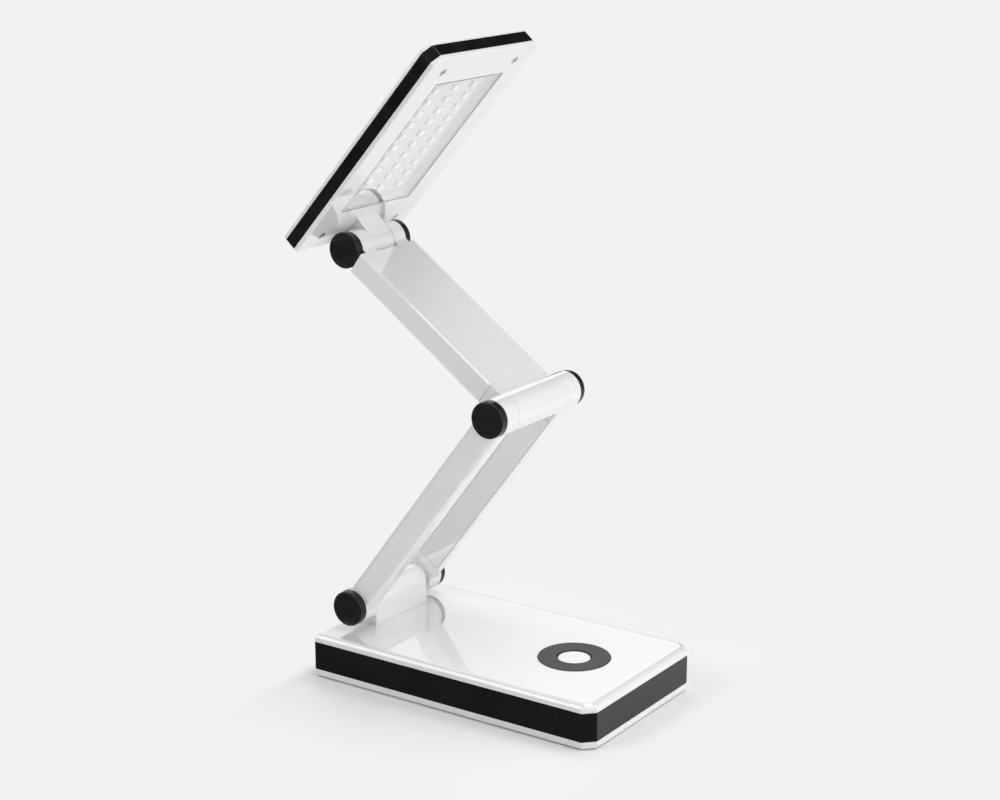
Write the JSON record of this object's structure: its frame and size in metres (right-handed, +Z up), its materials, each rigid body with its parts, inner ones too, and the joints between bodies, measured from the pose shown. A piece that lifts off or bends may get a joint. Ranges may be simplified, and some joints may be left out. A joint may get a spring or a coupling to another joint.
{
  "type": "folding LED desk lamp",
  "caption": "Fold-flat desk lamp: flat base with a push switch, hinged two-rail lower arm, nesting upper arm and thin LED head.",
  "frame": {"origin": "centre of the base's length and width, on the surface that the foot pad rests on", "axes": "+X from the hinge end of the base to the switch end, +Y across the base along the hinge axes, +Z up"},
  "size_m": [0.21, 0.11, 0.3717],
  "materials": {
    "white_shell": "glossy moulded white ABS",
    "black_trim": "satin black moulded plastic",
    "ring_grey": "dark grey satin plastic",
    "foot_rubber": "matt black rubber sheet",
    "steel": "plain zinc plated steel",
    "washer_nylon": "natural nylon",
    "clear_pane": "clear acrylic sheet",
    "board_white": "white solder resist",
    "led_phosphor": "pale yellow phosphor in a white package",
    "board_green": "green solder resist",
    "socket_black": "black nylon",
    "battery_wrap": "shrink wrap sleeve",
    "lead_sleeve": "PVC insulated leads"
  },
  "bodies": {
    "base": {"foot_pad": "foot_rubber", "base_bottom_plate": "white_shell", "base_screws": "steel", "base_band": "black_trim", "base_top_shell": "white_shell", "hinge_block": "white_shell", "block_screws": "steel", "switch_ring": "ring_grey", "control_board": "board_green", "tact_switch": "socket_black", "battery_pack": "battery_wrap", "charge_socket": "socket_black"},
    "button": {"power_button": "white_shell"},
    "lower_arm": {"front_rail_shell": "white_shell", "front_rail_cover": "white_shell", "rear_rail_shell": "white_shell", "rear_rail_cover": "white_shell", "lower_arm_leads": "lead_sleeve", "base_hinge_bolt": "steel", "base_hinge_nut": "steel", "base_hinge_washers": "washer_nylon", "base_hinge_cap_front": "black_trim", "base_hinge_cap_rear": "black_trim", "elbow_bolt": "steel", "elbow_nut": "steel", "elbow_washers": "washer_nylon", "elbow_cap_front": "black_trim", "elbow_cap_rear": "black_trim"},
    "upper_arm": {"upper_arm_shell": "white_shell", "upper_arm_cover": "white_shell", "upper_arm_screws": "steel", "upper_arm_leads": "lead_sleeve", "head_hinge_bolt": "steel", "head_hinge_nut": "steel", "head_hinge_washers": "washer_nylon", "head_hinge_cap_front": "black_trim", "head_hinge_cap_rear": "black_trim"},
    "head": {"head_back_cover": "white_shell", "head_band": "black_trim", "head_front_frame": "white_shell", "hinge_tab": "white_shell", "lens_pane": "clear_pane", "light_tray": "white_shell", "led_board": "board_white", "led_chips": "led_phosphor", "head_screws": "steel"}
  },
  "joints": [
    {"name": "button_press", "type": "slide", "parent": "base", "child": "button", "axis": [0, 0, -1], "range_m": [0, 0.0008], "stiffness_N_per_m": 600},
    {"name": "base_hinge", "type": "hinge", "parent": "base", "child": "lower_arm", "pos_m": [-0.0811, 0, 0.0406], "axis": [0, 1, 0], "range_deg": [-40, 52.7]},
    {"name": "elbow", "type": "hinge", "parent": "lower_arm", "child": "upper_arm", "pos_m": [0.01816, 0, 0.1709], "axis": [0, -1, 0], "range_deg": [-26, 80]},
    {"name": "head_hinge", "type": "hinge", "parent": "upper_arm", "child": "head", "pos_m": [-0.09166, 0, 0.24924], "axis": [0, 1, 0], "range_deg": [-10, 84.3]}
  ]
}
